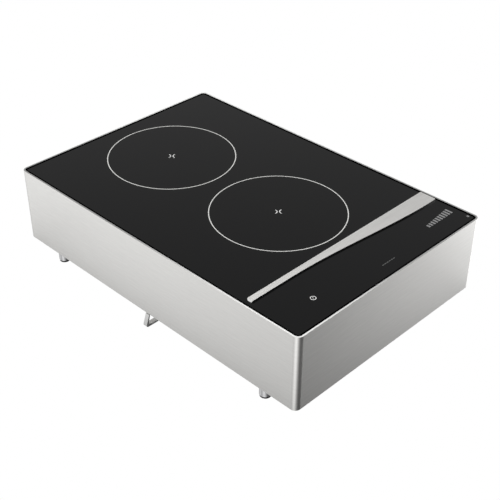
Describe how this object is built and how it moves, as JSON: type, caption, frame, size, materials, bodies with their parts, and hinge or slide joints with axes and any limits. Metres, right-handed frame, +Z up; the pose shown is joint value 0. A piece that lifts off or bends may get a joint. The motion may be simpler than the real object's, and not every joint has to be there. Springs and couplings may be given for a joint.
{
  "type": "electric induction cooktop",
  "caption": "Free-standing induction cooktop with a flush black glass top in a brushed steel casing on peg feet, with a tapered trim strip before its touch controls.",
  "frame": {"origin": "centre of the bounding box's bottom face, on the surface that the feet stand on", "axes": "+X to the right when facing the controls, +Y to the back, +Z up; the controls are at -Y"},
  "size_m": [0.356, 0.516, 0.1301],
  "materials": {
    "brushed_casing": "fine horizontal brushing",
    "sheet_steel": "plain galvanised sheet",
    "screw_steel": "bright zinc plated",
    "satin_steel": "satin, brushed along the bar",
    "polished_steel": "polished",
    "spring_steel": "drawn wire",
    "brass_sleeve": "turned",
    "black_glass": "polished black ceramic glass",
    "seal_rubber": "matt black",
    "pad_rubber": "matt black",
    "trim_aluminium": "satin, brushed along its length",
    "plate_aluminium": "mill finish",
    "dark_plastic": "moulded, fine grain",
    "white_plastic": "moulded",
    "component_black": "moulded epoxy",
    "capacitor_yellow": "moulded case",
    "relay_blue": "moulded case",
    "board_green": "solder mask",
    "display_window": "tinted window",
    "ribbon_grey": "flat cable sheath",
    "lead_sheath": "soft sheath",
    "lead_red": "silicone sheath",
    "copper_winding": "enamelled copper",
    "ferrite": "sintered",
    "mica": "pressed mica sheet",
    "white_ceramic": "unglazed"
  },
  "bodies": {
    "root": {"casing": "brushed_casing", "base_pan": "sheet_steel", "casing_screws": "screw_steel", "foot_front_left": "polished_steel", "foot_front_right": "polished_steel", "foot_rear_left": "polished_steel", "foot_rear_right": "polished_steel", "pad_front_left": "pad_rubber", "pad_front_right": "pad_rubber", "pad_rear_left": "pad_rubber", "pad_rear_right": "pad_rubber", "foot_screws": "screw_steel", "glass_frame": "sheet_steel", "glass_seal": "seal_rubber", "glass_top": "black_glass", "trim_strip": "trim_aluminium", "bracket_sleeves": "brass_sleeve", "bracket_screws": "screw_steel", "coil_plate": "plate_aluminium", "plate_posts": "brass_sleeve", "plate_screws": "screw_steel", "former_rear": "dark_plastic", "former_front": "dark_plastic", "winding_rear": "copper_winding", "winding_front": "copper_winding", "ferrites_rear": "ferrite", "ferrites_front": "ferrite", "mica_rear": "mica", "mica_front": "mica", "sensor_rear": "white_ceramic", "sensor_front": "white_ceramic", "lift_springs_rear": "spring_steel", "lift_springs_front": "spring_steel", "control_carrier": "dark_plastic", "control_board": "board_green", "touch_springs": "spring_steel", "displays": "display_window", "control_ribbon": "ribbon_grey", "power_board": "board_green", "board_posts": "white_plastic", "board_screws": "screw_steel", "heat_sink": "plate_aluminium", "power_transistors": "component_black", "bridge_rectifier": "component_black", "power_capacitors": "capacitor_yellow", "power_choke": "copper_winding", "relays": "relay_blue", "filter_board": "board_green", "filter_choke": "copper_winding", "filter_capacitors": "capacitor_yellow", "fan_frame": "dark_plastic", "fan_screws": "screw_steel", "air_duct": "dark_plastic", "terminal_block": "white_plastic", "cable_gland": "seal_rubber", "mains_leads": "lead_sheath", "coil_leads": "lead_red"},
    "fan_rotor": {"fan_impeller": "dark_plastic"},
    "bracket_l": {"bracket_left": "satin_steel"},
    "bracket_r": {"bracket_right": "satin_steel"}
  },
  "joints": [
    {"name": "fan_spin", "type": "hinge", "parent": "root", "child": "fan_rotor", "pos_m": [-0.1008, 0.1718, 0.0254], "axis": [0, 0, 1], "continuous": true},
    {"name": "bracket_left_swing", "type": "hinge", "parent": "root", "child": "bracket_l", "pos_m": [-0.15, 0, 0.01], "axis": [0, 0, 1], "range_deg": [-90, 90]},
    {"name": "bracket_right_swing", "type": "hinge", "parent": "root", "child": "bracket_r", "pos_m": [0.15, 0, 0.01], "axis": [0, 0, 1], "range_deg": [-90, 90]}
  ]
}
